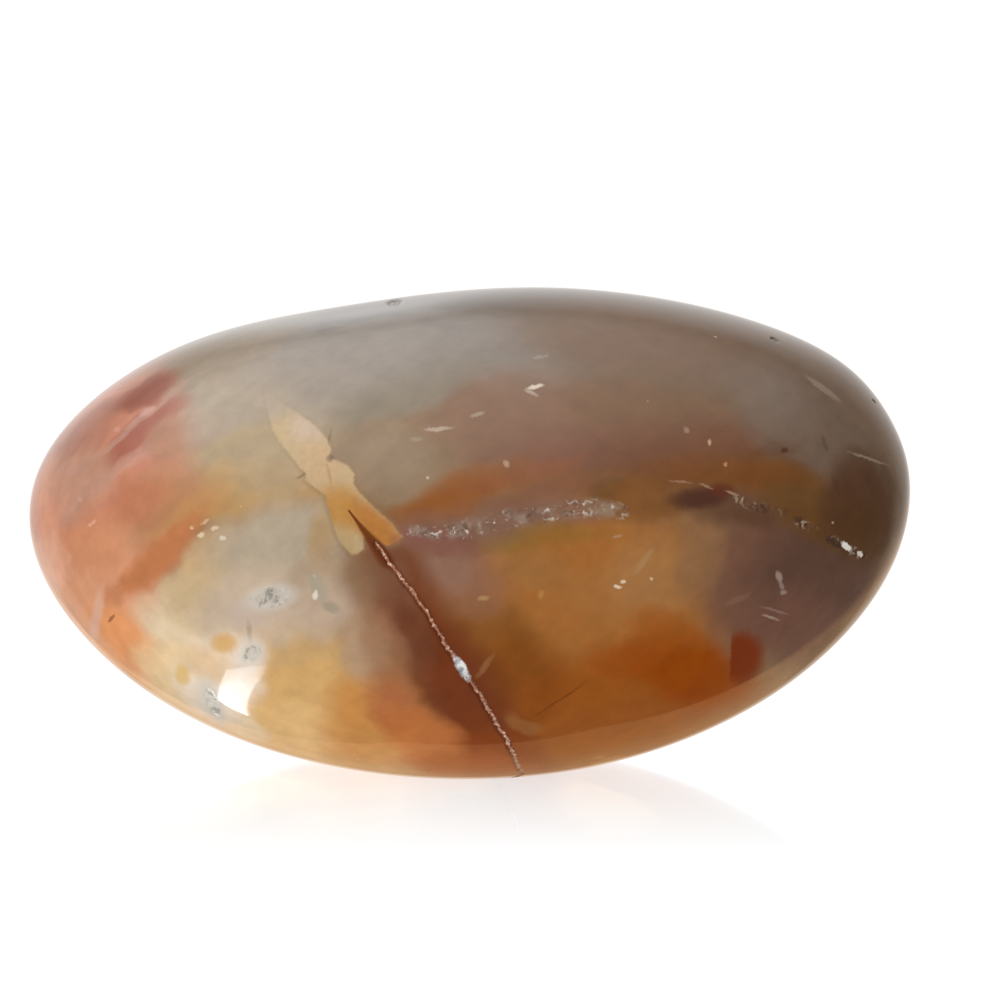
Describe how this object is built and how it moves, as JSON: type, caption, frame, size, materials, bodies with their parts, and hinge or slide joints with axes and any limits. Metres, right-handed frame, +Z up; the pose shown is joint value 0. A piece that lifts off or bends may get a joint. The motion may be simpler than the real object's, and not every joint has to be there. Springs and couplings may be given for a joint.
{
  "type": "tumbled jasper stone",
  "caption": "Egg-shaped tumbled jasper pebble, polished all over, with a thin crack, small crystal pits and one small flat to rest on.",
  "frame": {"origin": "on the resting plane, under the middle of the stone's bounding box", "axes": "+X from the narrow tip to the blunt end, +Y from the figured face to the back, +Z up through the thickness"},
  "size_m": [0.046, 0.0334, 0.025],
  "materials": {
    "polished_jasper": "tumbled to a high polish; patches of salmon, ochre, cream, burnt orange and purple-brown"
  },
  "bodies": {
    "root": {"tumbled_jasper": "polished_jasper"}
  },
  "joints": []
}
